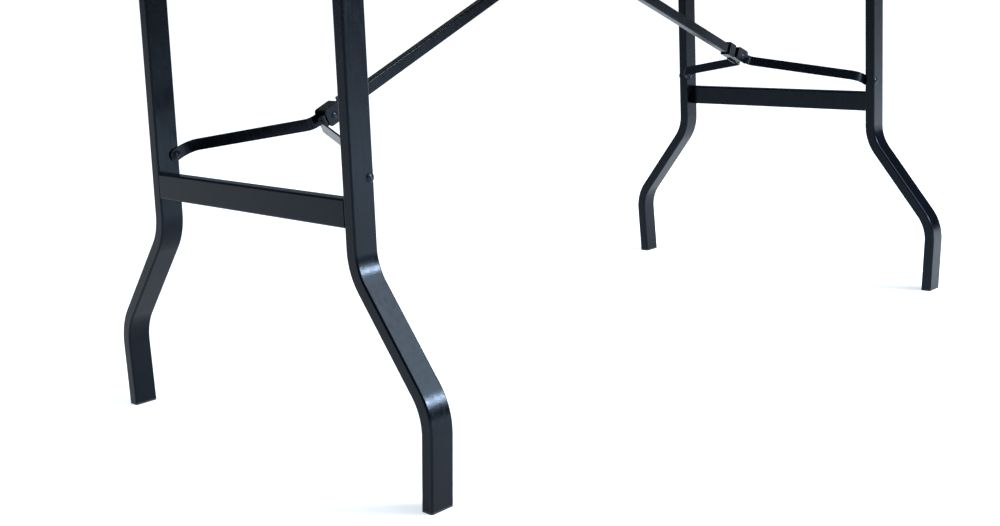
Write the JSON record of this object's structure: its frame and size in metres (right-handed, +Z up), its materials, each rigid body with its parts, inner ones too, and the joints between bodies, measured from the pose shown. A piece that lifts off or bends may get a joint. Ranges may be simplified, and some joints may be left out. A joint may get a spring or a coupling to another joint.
{
  "type": "folding table",
  "caption": "Rectangular folding table with a flat laminated top on two folding steel end frames with splayed feet, yoked centre braces and sliding lock rings.",
  "frame": {"origin": "on the floor, below the middle of the table top", "axes": "+X along the table towards the right end frame, +Y across it to the rear, +Z up"},
  "size_m": [1.829, 0.762, 0.737],
  "materials": {
    "laminate": "wood-grain laminate, satin",
    "backer": "plain backing sheet, matt",
    "core_board": "raw particle board",
    "edge_plastic": "satin black moulding",
    "frame_steel": "semi-gloss black powder coat",
    "brace_steel": "semi-gloss black powder coat",
    "bracket_steel": "semi-gloss black powder coat",
    "rivet_steel": "painted rivet heads",
    "pin_steel": "zinc plated",
    "screw_steel": "zinc plated",
    "foot_plastic": "moulded black",
    "bumper_rubber": "moulded rubber"
  },
  "bodies": {
    "top": {"table_core": "core_board", "top_laminate": "laminate", "underside_backer": "backer", "edge_band": "edge_plastic", "stacking_bumpers": "bumper_rubber", "bracket_screws": "screw_steel", "hinge_bracket_front_left": "bracket_steel", "hinge_bracket_rear_left": "bracket_steel", "brace_bracket_left": "bracket_steel", "brace_pin_left": "pin_steel", "hinge_bracket_front_right": "bracket_steel", "hinge_bracket_rear_right": "bracket_steel", "brace_bracket_right": "bracket_steel", "brace_pin_right": "pin_steel"},
    "leg_frame_left": {"leg_front_left": "frame_steel", "leg_rear_left": "frame_steel", "crossbar_left": "frame_steel", "hinge_rod_left": "pin_steel", "rod_caps_left": "pin_steel", "leg_rivets_left": "rivet_steel", "foot_plug_front_left": "foot_plastic", "foot_plug_rear_left": "foot_plastic"},
    "brace_left": {"centre_brace_left": "brace_steel"},
    "yoke_left": {"yoke_strap_front_left": "brace_steel", "yoke_strap_rear_left": "brace_steel", "knuckle_cover_left": "brace_steel", "knuckle_pin_left": "rivet_steel", "strap_rivets_left": "rivet_steel"},
    "lock_ring_left": {"lock_ring_left": "brace_steel"},
    "leg_frame_right": {"leg_front_right": "frame_steel", "leg_rear_right": "frame_steel", "crossbar_right": "frame_steel", "hinge_rod_right": "pin_steel", "rod_caps_right": "pin_steel", "leg_rivets_right": "rivet_steel", "foot_plug_front_right": "foot_plastic", "foot_plug_rear_right": "foot_plastic"},
    "brace_right": {"centre_brace_right": "brace_steel"},
    "yoke_right": {"yoke_strap_front_right": "brace_steel", "yoke_strap_rear_right": "brace_steel", "knuckle_cover_right": "brace_steel", "knuckle_pin_right": "rivet_steel", "strap_rivets_right": "rivet_steel"},
    "lock_ring_right": {"lock_ring_right": "brace_steel"}
  },
  "joints": [
    {"name": "leg_fold_left", "type": "hinge", "parent": "top", "child": "leg_frame_left", "pos_m": [-0.7175, 0, 0.682], "axis": [0, -1, 0], "range_deg": [0, 90]},
    {"name": "brace_swing_left", "type": "hinge", "parent": "top", "child": "brace_left", "pos_m": [-0.0584, 0, 0.7], "axis": [0, -1, 0], "range_deg": [-23.06, 0]},
    {"name": "knuckle_left", "type": "hinge", "parent": "brace_left", "child": "yoke_left", "pos_m": [-0.56456, 0, 0.48384], "axis": [0, -1, 0], "range_deg": [0, 180]},
    {"name": "lock_ring_slide_left", "type": "slide", "parent": "brace_left", "child": "lock_ring_left", "axis": [0.9196, 0, 0.3927], "range_m": [0, 0.06]},
    {"name": "leg_fold_right", "type": "hinge", "parent": "top", "child": "leg_frame_right", "pos_m": [0.7175, 0, 0.682], "axis": [0, 1, 0], "range_deg": [0, 90]},
    {"name": "brace_swing_right", "type": "hinge", "parent": "top", "child": "brace_right", "pos_m": [0.0584, 0, 0.7], "axis": [0, 1, 0], "range_deg": [-23.06, 0]},
    {"name": "knuckle_right", "type": "hinge", "parent": "brace_right", "child": "yoke_right", "pos_m": [0.56456, 0, 0.48384], "axis": [0, 1, 0], "range_deg": [0, 180]},
    {"name": "lock_ring_slide_right", "type": "slide", "parent": "brace_right", "child": "lock_ring_right", "axis": [-0.9196, 0, 0.3927], "range_m": [0, 0.06]}
  ],
  "couplings": [
    {"joint": "brace_swing_left", "follows": "leg_fold_left", "ratio": -0.25616},
    {"joint": "knuckle_left", "follows": "leg_fold_left", "ratio": 2},
    {"joint": "brace_swing_right", "follows": "leg_fold_right", "ratio": -0.25616},
    {"joint": "knuckle_right", "follows": "leg_fold_right", "ratio": 2}
  ]
}
